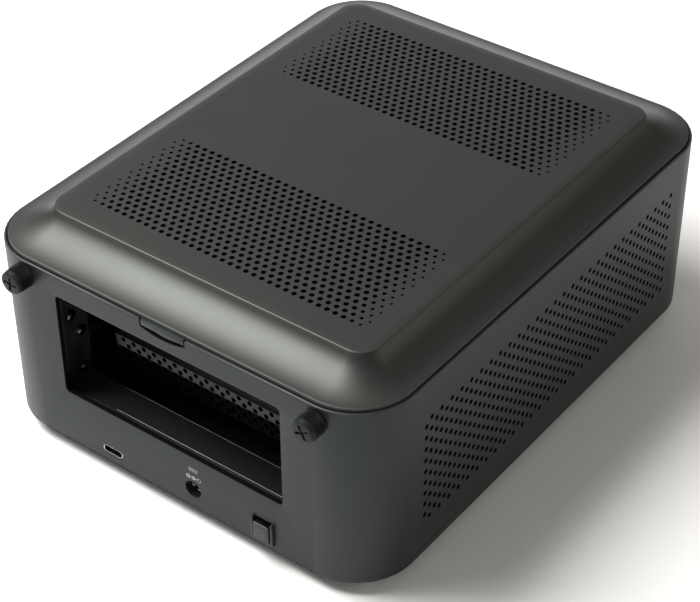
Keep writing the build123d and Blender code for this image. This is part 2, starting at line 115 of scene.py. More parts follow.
def coatedSurface(name, look):
    # A sprayed or moulded finish: cloudy colour, fine grain and an uneven sheen
    material, sheet = newMaterial(name)
    cloud = noise(sheet, look["cloudScale"], cloudDetail)
    grain = noise(sheet, look["grainScale"])
    colour = blend(sheet, cloud * (1 - grainShare) + grain * grainShare, look["dark"], look["light"])
    sheen = look["rough"] + (cloud - 0.5) * look["roughCloud"] + (grain - 0.5) * look["roughGrain"]
    bump = sheet.node("Bump", {}, {"Strength": look["grainBump"], "Distance": look["grainDepth"], "Height": grain})
    shader = sheet.node("BsdfPrincipled", {}, {
        "Base Color": colour, "Roughness": sheen, "Normal": bump, "IOR": look["ior"],
        "Specular Tint": (*look["tint"], 1)})
    sheet.node("OutputMaterial", {}, {"Surface": shader})
    return material


def platedMetal(name, look):
    # Turned, drawn or plated metal with fine streaks
    material, sheet = newMaterial(name)
    streak = noise(sheet, look["streakScale"], stretch=look["stretch"])
    colour = blend(sheet, streak, look["dark"], look["light"])
    sheen = look["rough"] + streak * look["roughStreak"]
    bump = sheet.node("Bump", {}, {"Strength": look["bump"], "Distance": streakDepth, "Height": streak})
    shader = sheet.node("BsdfPrincipled", {}, {
        "Base Color": colour, "Roughness": sheen, "Metallic": 1.0, "Normal": bump})
    sheet.node("OutputMaterial", {}, {"Surface": shader})
    return material


plainCoat = {  # what a finish has unless it says otherwise
    "roughCloud": 0.05, "roughGrain": 0.06, "grainBump": 0.1, "grainDepth": 0.00003, "ior": 1.5, "tint": (1, 1, 1),
}
finishes = {
    "lidPaint": {"dark": (0.0125, 0.0138, 0.0122), "light": (0.0175, 0.0188, 0.0166), "cloudScale": 60,
                 "grainScale": 2600, "rough": 0.44, "roughCloud": 0.04, "ior": 1.8, "tint": (0.96, 1.0, 0.955)},
    "shellPaint": {"dark": (0.014, 0.0155, 0.0162), "light": (0.02, 0.0215, 0.0225), "cloudScale": 50,
                   "grainScale": 2600, "rough": 0.46, "roughCloud": 0.04, "ior": 1.42, "tint": (0.86, 0.945, 1.0)},
    "thumbBlack": {"dark": (0.017, 0.019, 0.02), "light": (0.027, 0.029, 0.03), "cloudScale": 300,
                   "grainScale": 3500, "rough": 0.5, "roughCloud": 0.06, "roughGrain": 0.08, "grainBump": 0.12,
                   "ior": 1.29, "tint": (0.86, 0.95, 1.0)},
    "innerSteel": {"dark": (0.055, 0.059, 0.059), "light": (0.078, 0.082, 0.082), "cloudScale": 80,
                   "grainScale": 2400, "rough": 0.42, "roughCloud": 0.06, "grainBump": 0.08},
    "frameBlack": {"dark": (0.024, 0.027, 0.027), "light": (0.036, 0.04, 0.04), "cloudScale": 80, "grainScale": 2400,
                   "rough": 0.2, "roughCloud": 0.04, "roughGrain": 0.04, "grainBump": 0.04, "grainDepth": 0.00002,
                   "ior": 1.55},
    "mouldedBlack": {"dark": (0.007, 0.007, 0.008), "light": (0.013, 0.013, 0.014), "cloudScale": 200,
                     "grainScale": 3000, "rough": 0.45, "roughCloud": 0.06, "grainBump": 0.08, "grainDepth": 0.00002},
    "buttonGrey": {"dark": (0.018, 0.019, 0.0195), "light": (0.026, 0.027, 0.0275), "cloudScale": 200,
                   "grainScale": 3200, "rough": 0.42, "grainDepth": 0.00002, "tint": (0.86, 0.95, 1.0)},
    "boardMask": {"dark": (0.006, 0.011, 0.01), "light": (0.012, 0.02, 0.018), "cloudScale": 220, "grainScale": 1500,
                  "rough": 0.36, "roughCloud": 0.08, "roughGrain": 0.05},
    "chipEpoxy": {"dark": (0.01, 0.01, 0.01), "light": (0.018, 0.018, 0.018), "cloudScale": 400, "grainScale": 3000,
                  "rough": 0.55, "roughCloud": 0.06, "roughGrain": 0.08, "grainBump": 0.14},
    "footRubber": {"dark": (0.01, 0.01, 0.01), "light": (0.017, 0.017, 0.017), "cloudScale": 250, "grainScale": 2500,
                   "rough": 0.75, "roughCloud": 0.08, "grainBump": 0.2, "grainDepth": 0.00004},
    "markFaint": {"dark": (0.075, 0.077, 0.077), "light": (0.1, 0.1, 0.1), "cloudScale": 500, "grainScale": 3000,
                  "rough": 0.5, "roughGrain": 0.05, "grainBump": 0.05, "grainDepth": 0.00002},
    # paler copy of the shell paint for the lid's standing edge: painted highlight
    "edgeGrey": {"dark": (0.055, 0.059, 0.057), "light": (0.075, 0.08, 0.078), "cloudScale": 60, "grainScale": 2600,
                 "rough": 0.46, "roughCloud": 0.04, "ior": 1.42},
    # near-black painted shade for hole walls, cut edges and hidden faces
    "holeDark": {"dark": (0.005, 0.005, 0.005), "light": (0.009, 0.009, 0.009), "cloudScale": 300,
                 "grainScale": 2500, "rough": 0.8, "roughGrain": 0.05, "grainBump": 0.05, "grainDepth": 0.00002,
                 "ior": 1.12},
    # pale zinc for the skirt's lit upper rows: painted light
    "dullZinc": {"dark": (0.54, 0.54, 0.52), "light": (0.66, 0.66, 0.64), "cloudScale": 120, "grainScale": 1800,
                 "rough": 0.5, "roughCloud": 0.06, "grainBump": 0.08, "grainDepth": 0.00002},
    "printWhite": {"dark": (0.55, 0.55, 0.55), "light": (0.68, 0.68, 0.67), "cloudScale": 500, "grainScale": 3000,
                   "rough": 0.6, "roughGrain": 0.05, "grainBump": 0.05, "grainDepth": 0.00002},
}
metals = {
    "zincSteel": {"dark": (0.42, 0.42, 0.41), "light": (0.62, 0.62, 0.6), "streakScale": 1800,
                  "stretch": (1, 1, 0.2), "bump": 0.08, "rough": 0.26, "roughStreak": 0.14},
    "darkZinc": {"dark": (0.05, 0.047, 0.04), "light": (0.1, 0.094, 0.08), "streakScale": 1800,
                 "stretch": (1, 1, 0.2), "bump": 0.04, "rough": 0.12, "roughStreak": 0.08},
    "bareSteel": {"dark": (0.38, 0.41, 0.42), "light": (0.53, 0.56, 0.57), "streakScale": 1600,
                  "stretch": (0.3, 1, 1), "bump": 0.06, "rough": 0.36, "roughStreak": 0.12},
    "socketSteel": {"dark": (0.62, 0.61, 0.58), "light": (0.8, 0.79, 0.76), "streakScale": 1500,
                    "stretch": (1, 0.15, 1), "bump": 0.05, "rough": 0.18, "roughStreak": 0.12},
    "bushBrass": {"dark": (0.46, 0.31, 0.12), "light": (0.66, 0.47, 0.2), "streakScale": 1800,
                  "stretch": (1, 0.2, 1), "bump": 0.06, "rough": 0.24, "roughStreak": 0.14},
    "sinkAluminium": {"dark": (0.5, 0.5, 0.51), "light": (0.68, 0.68, 0.7), "streakScale": 1200,
                      "stretch": (1, 0.1, 1), "bump": 0.1, "rough": 0.3, "roughStreak": 0.15},
}
paints = {name: coatedSurface(name, {**plainCoat, **look}) for name, look in finishes.items()}
paints.update({name: platedMetal(name, look) for name, look in metals.items()})
print("materials made:", len(paints))


# Mesh tools shared by the pieces

tiny = 0.001  # allowance for places that should be equal
slack = 0.01  # allowance round a region
weldDistance = 0.002
cutDistance = 0.0001
flatAngle = math.radians(1)  # facets that meet at less than this are one face
softAngle = math.radians(40)  # edges sharper than this are rounded on copied solids
squareAngle = 1.0  # radians: edges that turn more than this count as square
fineSegments = 3  # of a bevel that shows
probeReach = 10  # how far outside a skin its probe point lies
upright = Matrix(((1, 0, 0, 0), (0, 0, 1, 0), (0, 1, 0, 0), (0, 0, 0, 1)))  # local x across, local y up


def facingRear(x, y, z):
    return Matrix.Translation((x, y, z)) @ upright


def edgesOf(verts):
    return list(dict.fromkeys(e for v in verts for e in v.link_edges))


def extruded(bm, edges):
    # A strip of new faces: its new verts and its far edges
    grown = bmesh.ops.extrude_edge_only(bm, edges=edges)["geom"]
    verts = [g for g in grown if isinstance(g, bmesh.types.BMVert)]
    fresh = set(verts)
    return verts, [g for g in grown if isinstance(g, bmesh.types.BMEdge) and fresh.issuperset(g.verts)]


def roundedLoop(bm, halfX, halfY, radius, z, steps):
    # A circle whose quarters are moved apart into a rounded rectangle
    turn = math.pi / (4 * steps)
    spin = Matrix.Rotation(turn, 4, "Z")
    verts = bmesh.ops.create_circle(bm, segments=4 * steps, radius=radius / math.cos(turn), matrix=spin)["verts"]
    for v in verts:
        v.co.x += math.copysign(halfX - radius, v.co.x)
        v.co.y += math.copysign(halfY - radius, v.co.y)
        v.co.z = z
    return {"edges": edgesOf(verts), "halfX": halfX, "halfY": halfY, "radius": radius}


def pushed(value, oldHalf, oldRadius, half, radius):
    # A corner's coordinate moved to a new half size and radius; the straight runs stay
    over = abs(value) - (oldHalf - oldRadius)
    return value if over <= 0 else math.copysign(half - radius + over * radius / oldRadius, value)


def nextLevel(bm, loop, halfX, halfY, radius, z):
    # A strip from one rounded rectangle to another, which becomes the loop to go on from
    verts, edges = extruded(bm, loop["edges"])
    for v in verts:
        v.co.x = pushed(v.co.x, loop["halfX"], loop["radius"], halfX, radius)
        v.co.y = pushed(v.co.y, loop["halfY"], loop["radius"], halfY, radius)
        v.co.z = z
    return {"edges": edges, "halfX": halfX, "halfY": halfY, "radius": radius}


def outlineOf(bm, points):
    verts = [bm.verts.new(p) for p in points]
    return [bm.edges.new((a, b)) for a, b in zip(verts, verts[1:] + verts[:1])]


def holeRing(bm, matrix, radius, stretch, sides):
    # A round hole, or a slot when its halves are pulled apart along local x
    turn = Matrix.Rotation(math.pi / sides, 4, "Z")
    verts = bmesh.ops.create_circle(bm, segments=sides, radius=radius, matrix=turn)["verts"]
    for v in verts:
        v.co.x += math.copysign(stretch, v.co.x)
    bmesh.ops.transform(bm, matrix=matrix, verts=verts)
    return verts


def punchedRow(holes, length, step, sides):
    # One row of brick cells, each with its own round hole: (place along the row, radius)
    bm = bmesh.new()
    mark = bm.verts.layers.int.new("rim")
    for along, radius in holes:
        low, high, left, right = -step / 2, step / 2, along - length / 2, along + length / 2
        corners = [(left, low), (along, low), (right, low), (right, high), (along, high), (left, high)]
        cell = outlineOf(bm, [(u, v, 0) for u, v in corners])
        ring = holeRing(bm, Matrix.Translation((along, 0, 0)), radius, 0, sides)
        for v in ring:
            v[mark] = 1
        bmesh.ops.triangle_fill(bm, use_beauty=True, edges=cell + edgesOf(ring))
    mesh = bpy.data.meshes.new("row")
    bm.to_mesh(mesh)
    bm.free()
    return mesh


def punchedField(bm, matrix, kinds, heights, length, step, sides):
    # Rows of the given kinds in turn, set side by side, welded and added to the piece
    rows = [punchedRow(holes, length, step, sides) for holes in kinds]
    field = bmesh.new()
    for k, height in enumerate(heights):
        first = len(field.verts)
        field.from_mesh(rows[k % len(rows)])
        field.verts.ensure_lookup_table()
        bmesh.ops.translate(field, vec=(0, height, 0), verts=field.verts[first:])
    mark = field.verts.layers.int["rim"]
    bmesh.ops.remove_doubles(field, verts=[v for v in field.verts if not v[mark]], dist=weldDistance)
    bmesh.ops.transform(field, matrix=matrix, verts=field.verts[:])
    mesh = bpy.data.meshes.new("field")
    field.to_mesh(mesh)
    field.free()
    bm.from_mesh(mesh)
    for used in rows + [mesh]:
        bpy.data.meshes.remove(used)


def evenly(count, step):
    # Places either side of the middle
    return [(k - (count - 1) / 2) * step for k in range(count)]


def openEdges(bm, test):
    # Edges that still want a face, hole rims left out
    mark = bm.verts.layers.int["rim"]
    return [e for e in bm.edges if len(e.link_faces) < 2 and all(not v[mark] and test(v.co) for v in e.verts)]


def fillOpen(bm, test=lambda co: True):
    bmesh.ops.triangle_fill(bm, use_beauty=True, edges=openEdges(bm, test))


def closeHoles(bm):
    bmesh.ops.holes_fill(bm, edges=[e for e in bm.edges if e.is_boundary], sides=0)


def cutAway(bm, spot, normal):
    # Takes off what lies behind a plane and closes the cut
    bmesh.ops.bisect_plane(bm, geom=bm.verts[:] + bm.edges[:] + bm.faces[:], dist=cutDistance, plane_co=spot,
                           plane_no=normal, clear_inner=True)
    closeHoles(bm)


def faceOutward(bm, probe):
    # Consistent normals on an open skin, turned by the face nearest to a probe point outside it
    bmesh.ops.recalc_face_normals(bm, faces=bm.faces[:])
    bm.faces.ensure_lookup_table()
    near = min(bm.faces, key=lambda f: (f.calc_center_median() - probe).length)
    if near.normal.dot(probe - near.calc_center_median()) < 0:
        bmesh.ops.reverse_faces(bm, faces=bm.faces[:])


def thicken(bm, depth):
    # A second skin behind the first, joined round every open edge
    bm.normal_update()
    fresh = bmesh.ops.extrude_face_region(bm, geom=bm.faces[:], use_keep_orig=True)["geom"]
    for v in [g for g in fresh if isinstance(g, bmesh.types.BMVert)]:
        v.co -= v.normal * depth(v.co.z)
    bmesh.ops.recalc_face_normals(bm, faces=bm.faces[:])


def facesAt(bm, test):
    return [f for f in bm.faces if test(f.calc_center_median())]


def paintFaces(bm, layer, test):
    for f in bm.faces:
        if test(f, f.calc_center_median()):
            f.material_index = layer


def shadeHoleWalls(bm, layer):
    # The walls of punched holes, which lie between two rims, painted near black as painted shade
    mark = bm.verts.layers.int["rim"]
    paintFaces(bm, layer, lambda f, spot: all(v[mark] for v in f.verts))


def roundEdges(bm, edges, size, segments=2):
    bmesh.ops.bevel(bm, geom=edges, offset=size, offset_type="OFFSET", segments=segments, profile=0.5,
                    affect="EDGES", material=-1)


def mergeInto(bm, part, layer=None):
    # Adds a finished part, all of it in one material layer if one is given
    if layer is not None:
        paintFaces(part, layer, lambda f, spot: True)
    mesh = bpy.data.meshes.new("part")
    part.to_mesh(mesh)
    part.free()
    bm.from_mesh(mesh)
    bpy.data.meshes.remove(mesh)


def addBlock(bm, low, high, bevel=0.0, segments=2):
    size = Vector(high) - Vector(low)
    middle = (Vector(high) + Vector(low)) / 2
    place = Matrix.Translation(middle) @ Matrix.Diagonal((*size, 1))
    verts = bmesh.ops.create_cube(bm, size=1.0, matrix=place)["verts"]
    if bevel:
        roundEdges(bm, edgesOf(verts), bevel, segments)


def between(start, end):
    # Half the way from start to end, local z along it, and the length
    axis = Vector(end) - Vector(start)
    middle = (Vector(start) + Vector(end)) / 2
    return Matrix.Translation(middle) @ axis.to_track_quat("Z", "Y").to_matrix().to_4x4(), axis.length


def addRod(bm, start, end, radius, sides=24):
    place, length = between(start, end)
    bmesh.ops.create_cone(bm, cap_ends=True, segments=sides, radius1=radius, radius2=radius, depth=length,
                          matrix=place)


def addTube(bm, start, end, outer, inner, sides=24):
    place, length = between(start, end)
    rings = []
    for radius, share in ((outer, -0.5), (outer, 0.5), (inner, 0.5), (inner, -0.5)):
        spot = place @ Matrix.Translation((0, 0, share * length))
        rings.append(edgesOf(bmesh.ops.create_circle(bm, segments=sides, radius=radius, matrix=spot)["verts"]))
    for first, second in zip(rings, rings[1:] + rings[:1]):
        bmesh.ops.bridge_loops(bm, edges=first + second)


def addPiece(name, bm, material, body, replaced=(), sharp=32):
    # Several materials, set apart by spaces, are the layers of the faces' material numbers
    bmesh.ops.recalc_face_normals(bm, faces=bm.faces[:])
    bmesh.ops.transform(bm, matrix=toFrame, verts=bm.verts[:])
    if "rim" in bm.verts.layers.int:
        bm.verts.layers.int.remove(bm.verts.layers.int["rim"])
    mesh = bpy.data.meshes.new(name)
    bm.to_mesh(mesh)
    bm.free()
    for layer in material.split():
        mesh.materials.append(paints[layer])
    mesh.shade_smooth()
    mesh.set_sharp_from_angle(angle=math.radians(sharp))
    piece = bpy.data.objects.new(name, mesh)
    scene.collection.objects.link(piece)
    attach(piece, body)
    if replaced:
        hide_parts(*replaced)
    print(name, "faces", len(mesh.polygons))


def solidCopy(node):
    # A CAD solid with its loose facets joined
    bm = bmesh.new()
    bm.from_mesh(nodes[node].data)
    bmesh.ops.transform(bm, matrix=toFrame.inverted(), verts=bm.verts[:])
    bmesh.ops.remove_doubles(bm, verts=bm.verts[:], dist=weldDistance)
    bmesh.ops.dissolve_limit(bm, angle_limit=flatAngle, verts=bm.verts[:], edges=bm.edges[:],
                             use_dissolve_boundaries=False)
    return bm


def softenEdges(bm, size, segments=2):
    roundEdges(bm, [e for e in bm.edges if e.is_manifold and e.calc_face_angle(0) > softAngle], size, segments)


def bevelledCopy(name, node, material, body, size, segments=2):
    bm = solidCopy(node)
    softenEdges(bm, size, segments)
    addPiece(name, bm, material, body, (node,))


# Lid: a coved sheet with two vent fields, a pull tab and two tongues

lid = {
    "edgeX": 81.05, "edgeY": 102.65, "edgeRadius": 21.15, "edgeBottom": 71.6, "edgeTop": 73.9, "top": 82.0,
    "coveSide": 14.2, "coveEnd": 17.3, "plateauRadius": 7.5, "coveLean": 0.1, "coveBend": 0.74, "coveLip": 10,
    "coveLoops": 22, "flatBand": 3.0, "sheet": 1.4, "crestBevel": 0.26, "edgeBevel": 0.22, "cornerSteps": 12,
    "ventPitch": 3.26, "ventRowStep": 2.823, "ventRows": 17, "ventColumns": 35, "ventFieldY": 50.8,
    "ventHole": 1.92, "ventEndHole": 0.95, "ventTaper": 0.36, "ventSides": 14,
    "tabWidth": 18.0, "tabBottom": 70.7, "tabTop": 73.0, "tabRear": -104.0, "tabFront": -101.9, "tabBevel": 0.25,
    "tongueX": 40.0, "tongueWidth": 16.0, "tongueFront": 99.4, "tongueSheet": 1.2, "tongueBottom": 63.6,
    "tongueBevel": 0.2,
}


def ventRow(count):
    # Holes that grow from both ends of the row to the full size
    holes = []
    for place in evenly(count, 1):
        size = lid["ventEndHole"] + lid["ventTaper"] * (lid["ventColumns"] / 2 - abs(place))
        holes.append((place * lid["ventPitch"], min(lid["ventHole"], size) / 2))
    return holes


def coveRise(share):
    # Height of the cove as a share of its full height, from the edge in to the crest
    lean, bend = lid["coveLean"], lid["coveBend"]
    return lean * share + bend * share ** 2 + (1 - lean - bend) * share ** lid["coveLip"]


def addCover(bm):
    # The skin: vent fields, the flat round them, the cove and the standing edge
    top, edgeTop, band = lid["top"], lid["edgeTop"], lid["flatBand"]
    kinds = [ventRow(lid["ventColumns"]), ventRow(lid["ventColumns"] + 1)]
    heights = evenly(lid["ventRows"], lid["ventRowStep"])
    for side in (-1, 1):
        field = Matrix.Translation((0, side * lid["ventFieldY"], top))
        punchedField(bm, field, kinds, heights, lid["ventPitch"], lid["ventRowStep"], lid["ventSides"])
    edgeX, edgeY, edgeRadius = lid["edgeX"], lid["edgeY"], lid["edgeRadius"]
    plateauX, plateauY, plateauRadius = edgeX - lid["coveSide"], edgeY - lid["coveEnd"], lid["plateauRadius"]
    loop = roundedLoop(bm, plateauX - band, plateauY - band, plateauRadius - band, top, lid["cornerSteps"])
    fillOpen(bm)
    loop = nextLevel(bm, loop, plateauX, plateauY, plateauRadius, top)
    crest = loop["edges"]
    for k in reversed(range(lid["coveLoops"])):
        share = k / lid["coveLoops"]
        radius = edgeRadius + (plateauRadius - edgeRadius) * share
        loop = nextLevel(bm, loop, edgeX - lid["coveSide"] * share, edgeY - lid["coveEnd"] * share, radius,
                         edgeTop + (top - edgeTop) * coveRise(share))
    edge = loop["edges"]
    nextLevel(bm, loop, edgeX, edgeY, edgeRadius, lid["edgeBottom"])
    faceOutward(bm, Vector((0, 0, top + probeReach)))
    roundEdges(bm, crest, lid["crestBevel"], fineSegments)
    roundEdges(bm, edge, lid["edgeBevel"])


def makeLid():
    bm = bmesh.new()
    addCover(bm)
    thicken(bm, lambda z: lid["sheet"])
    # hole walls painted near black: painted shade
    shadeHoleWalls(bm, 1)
    paintFaces(bm, 2, lambda f, spot: spot.z < lid["edgeTop"])  # the standing edge is painted paler than the cover: painted highlight
    grips = bmesh.new()
    half, low, high = lid["tabWidth"] / 2, lid["tabBottom"], lid["tabTop"]
    addBlock(grips, (-half, lid["tabRear"], low), (half, lid["tabFront"], high), lid["tabBevel"])
    rear, high = lid["tongueFront"] - lid["tongueSheet"], lid["edgeTop"] - lid["sheet"] / 2
    for side in (-1, 1):
        x, width = side * lid["tongueX"], lid["tongueWidth"] / 2
        low, front = lid["tongueBottom"], lid["tongueFront"]
        addBlock(grips, (x - width, rear, low), (x + width, front, high), lid["tongueBevel"])
    mergeInto(bm, grips, 3)
    addPiece("lid", bm, "lidPaint holeDark edgeGrey shellPaint", "cover", ("top_cover",))


makeLid()


# Shell: a rounded tube of sheet with vent fields at both sides and the openings of the rear face

shell = {
    "halfX": 82.4, "halfY": 104.0, "radius": 22.5, "bottom": shellBottom, "stepLow": 71.5, "ledgeTop": 71.6,
    "rim": 73.0, "wall": 1.6, "lip": 1.0, "ledgeWidth": 2.6, "ledgeSheet": 1.4, "ledgeOverlap": 0.3,
    "cornerSteps": 12, "rimBevel": 0.42, "footBevel": 0.25, "flatMargin": 1.0, "probeZ": 15.0,
    "ventStep": 2.735, "ventPeriod": 4.715, "ventColumns": 56, "ventHoles": 9, "ventMiddle": 36.68,
    "ventRadius": 0.95, "ventSides": 14,
    "windowHalf": 47.1, "windowLow": 23.6, "windowHigh": 64.5, "windowRadius": 1.5, "windowBevel": 0.3,
    "windowSteps": 5, "cutInset": 0.05,
    "notchHalf": 9.5, "notchTop": 70.2, "notchDepth": 1.6, "notchSteps": 16, "notchFront": -101.9,
    "usbX": -27.6, "usbZ": 5.93, "usbRadius": 1.88, "usbStretch": 2.84, "usbSides": 28,
    "jackX": 8.7, "jackZ": 8.9, "jackRadius": 3.4, "jackSides": 40,
    "buttonX": 38.7, "buttonZ": 7.8, "buttonHalfX": 4.7, "buttonHalfZ": 4.9, "buttonRadius": 0.4, "buttonSteps": 3,
    "thumbX": 61.0, "thumbZ": 67.0, "thumbHole": 1.8, "thumbBoss": 3.8, "thumbBossFront": -101.5,
    "bossOverlap": 0.2, "rearZone": -95.0, "acrossLimit": -60.0, "earLow": 56.1, "earHigh": 65.9,
    "bossX": 72.98, "bossY": 94.58, "bossRadius": 3.5, "bossBore": 1.3, "bossLow": 2.5, "bossHigh": 12.5,
}


def bisectAll(bm, faces, spot, normal):
    parts = dict.fromkeys(faces)
    for f in faces:
        parts.update(dict.fromkeys([*f.edges, *f.verts]))
    bmesh.ops.bisect_plane(bm, geom=list(parts), dist=cutDistance, plane_co=spot, plane_no=normal)


def ventColumn(count):
    return [(place, shell["ventRadius"]) for place in evenly(count, shell["ventPeriod"])]


def outward(co):
    # Direction away from the straight core of the rounded rectangle
    coreX, coreY = shell["halfX"] - shell["radius"], shell["halfY"] - shell["radius"]
    return Vector((co.x - max(-coreX, min(coreX, co.x)), co.y - max(-coreY, min(coreY, co.y)), 0))


def squareEdges(bm, test):
    return [e for e in bm.edges
            if all(test(v.co) for v in e.verts) and e.is_manifold and e.calc_face_angle(0) > squareAngle]


def outerRim(bm, test):
    # Square edges of the outer skin that a bevel may round
    found = []
    for e in squareEdges(bm, test):
        facing = sum((f.normal for f in e.link_faces), Vector())
        if facing.dot(outward((e.verts[0].co + e.verts[1].co) / 2)) > 0:
            found.append(e)
    return found


def onRear(co):
    return abs(co.y + shell["halfY"]) < tiny


def inWindow(co):
    return abs(co.x) < shell["windowHalf"] + slack and shell["windowLow"] - slack < co.z < shell["windowHigh"] + slack


def notchOutline():
    # The upper edge of the rear face, dipped in the middle under the lid's tab
    half, top, depth = shell["notchHalf"], shell["notchTop"], shell["notchDepth"]
    end, high = shell["halfX"] - shell["radius"], shell["stepLow"]
    radius = (half ** 2 + depth ** 2) / (2 * depth)
    swing = math.asin(half / radius)
    points = [(-end, high), (-half, high)]
    for k in range(shell["notchSteps"] + 1):
        angle = swing * (2 * k / shell["notchSteps"] - 1)
        points.append((radius * math.sin(angle), top - depth + radius - radius * math.cos(angle)))
    return points + [(half, high), (end, high)]


def addRearFace(bm):
    # The flat of the rear face, filled round its notch and its openings
    y, end, high = -shell["halfY"], shell["halfX"] - shell["radius"], shell["stepLow"]
    verts = [bm.verts.new((x, y, z)) for x, z in notchOutline()]
    edges = [bm.edges.new(pair) for pair in zip(verts, verts[1:])]
    strip = [edges[0], edges[-1]]
    for level in (shell["ledgeTop"], shell["rim"]):
        raised, strip = extruded(bm, strip)
        for v in raised:
            v.co.z = level
    bmesh.ops.remove_doubles(bm, verts=[v for v in bm.verts if onRear(v.co) and v.co.z > high - slack], dist=tiny)
    middle = (shell["windowLow"] + shell["windowHigh"]) / 2
    frames = (
        (0, middle, shell["windowHalf"], middle - shell["windowLow"], shell["windowRadius"], shell["windowSteps"]),
        (shell["buttonX"], shell["buttonZ"], shell["buttonHalfX"], shell["buttonHalfZ"], shell["buttonRadius"],
         shell["buttonSteps"]))
    for x, z, halfX, halfZ, corner, steps in frames:
        loop = roundedLoop(bm, halfX, halfZ, corner, 0, steps)
        verts = list(dict.fromkeys(v for e in loop["edges"] for v in e.verts))
        bmesh.ops.transform(bm, matrix=facingRear(x, y, z), verts=verts)
    usbPlace = facingRear(shell["usbX"], y, shell["usbZ"])
    holeRing(bm, usbPlace, shell["usbRadius"], shell["usbStretch"], shell["usbSides"])
    holeRing(bm, facingRear(shell["jackX"], y, shell["jackZ"]), shell["jackRadius"], 0, shell["jackSides"])
    fillOpen(bm, lambda co: onRear(co) and co.z < high + slack and abs(co.x) < end + tiny)


def cutThumbHoles(bm):
    # A square hole behind each thumbscrew's head, its cuts kept to the faces near it
    size, z = shell["thumbHole"], shell["thumbZ"]
    for side in (-1, 1):
        x = side * shell["thumbX"]
        cuts = [((x + step, 0, 0), (1, 0, 0)) for step in (-size, size)]
        cuts += [((0, 0, z + step), (0, 0, 1)) for step in (-size, size)]
        for spot, normal in cuts:
            near = [f for f in bm.faces if all(
                v.co.y < shell["rearZone"] and v.co.x * side > shell["acrossLimit"] for v in f.verts)]
            bisectAll(bm, near, spot, normal)
        hole = facesAt(bm, lambda co: co.y < shell["rearZone"] and abs(co.x - x) < size and abs(co.z - z) < size)
        bmesh.ops.delete(bm, geom=hole, context="FACES")


def addLedge(bm):
    # The shelf the lid sits on, open where the lid's two ears pass
    overlap, top = shell["ledgeOverlap"], shell["ledgeTop"]
    inner = shell["wall"] - overlap
    halfX, halfY, radius = (shell[key] - inner for key in ("halfX", "halfY", "radius"))
    depth, low = shell["ledgeWidth"] + overlap, top - shell["ledgeSheet"]
    ring = bmesh.new()
    first = roundedLoop(ring, halfX, halfY, radius, top, shell["cornerSteps"])
    loop = nextLevel(ring, first, halfX - depth, halfY - depth, radius - depth, top)
    loop = nextLevel(ring, loop, halfX - depth, halfY - depth, radius - depth, low)
    loop = nextLevel(ring, loop, halfX, halfY, radius, low)
    bmesh.ops.bridge_loops(ring, edges=first["edges"] + loop["edges"])
    for side in (-1, 1):
        bisectAll(ring, ring.faces[:], (side * shell["earHigh"], 0, 0), (1, 0, 0))
    gone = facesAt(ring, lambda co: co.y < 0 and abs(co.x) < shell["earHigh"])
    bmesh.ops.delete(ring, geom=gone, context="FACES")
    closeHoles(ring)
    mergeInto(bm, ring)
    notch, ear, front = shell["notchHalf"], shell["earLow"], -halfY + depth
    for left, right, rear in ((-ear, -notch, -halfY), (-notch, notch, shell["notchFront"]), (notch, ear, -halfY)):
        addBlock(bm, (left, rear, low), (right, front, top))


def addBosses(bm):
    # Screw bosses: one behind each thumbscrew and one in each lower corner
    wall = -shell["halfY"] + shell["wall"] - shell["bossOverlap"]
    for sideX in (-1, 1):
        x, z = sideX * shell["thumbX"], shell["thumbZ"]
        addTube(bm, (x, wall, z), (x, shell["thumbBossFront"], z), shell["thumbBoss"], shell["thumbHole"])
        for sideY in (-1, 1):
            x, y = sideX * shell["bossX"], sideY * shell["bossY"]
            addTube(bm, (x, y, shell["bossLow"]), (x, y, shell["bossHigh"]), shell["bossRadius"], shell["bossBore"])


